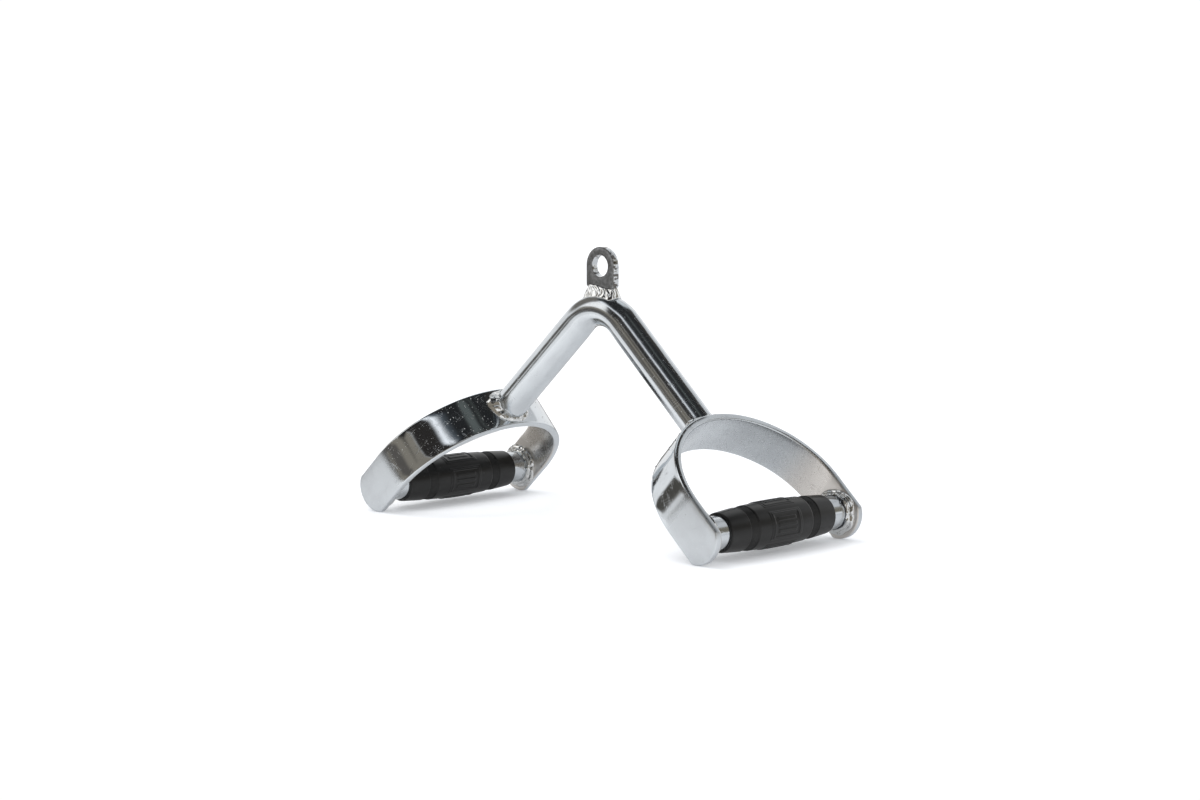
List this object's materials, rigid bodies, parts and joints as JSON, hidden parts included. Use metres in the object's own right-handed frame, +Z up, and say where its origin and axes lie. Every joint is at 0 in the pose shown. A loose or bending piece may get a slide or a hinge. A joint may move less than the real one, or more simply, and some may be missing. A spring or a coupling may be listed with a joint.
{
  "type": "parallel grip row handle",
  "caption": "Cable row handle: a bent tube with a flat eye at its top carries a D-shaped bar strap at each end, with a rubber-sleeved tube grip across each strap.",
  "frame": {"origin": "on the floor straight below the eye, midway between the two grips", "axes": "+X towards the right-hand grip, +Y along the grips away from the viewer, +Z up towards the eye"},
  "size_m": [0.379, 0.162, 0.2129],
  "materials": {
    "plated_tube": "bright plating over drawn steel tube",
    "plated_bar": "bright plating over hot-rolled flat bar, satin at the ends",
    "plated_weld": "bright plating over rippled weld",
    "rubber": "matte moulded rubber with knurled bands"
  },
  "bodies": {
    "root": {"bent_tube": "plated_tube", "cable_eye": "plated_bar", "eye_weld": "plated_weld", "right_strap": "plated_bar", "right_grip_tube": "plated_tube", "right_rubber_sleeve": "rubber", "right_leg_weld": "plated_weld", "right_front_grip_weld": "plated_weld", "right_rear_grip_weld": "plated_weld", "left_strap": "plated_bar", "left_grip_tube": "plated_tube", "left_rubber_sleeve": "rubber", "left_leg_weld": "plated_weld", "left_front_grip_weld": "plated_weld", "left_rear_grip_weld": "plated_weld"}
  },
  "joints": []
}
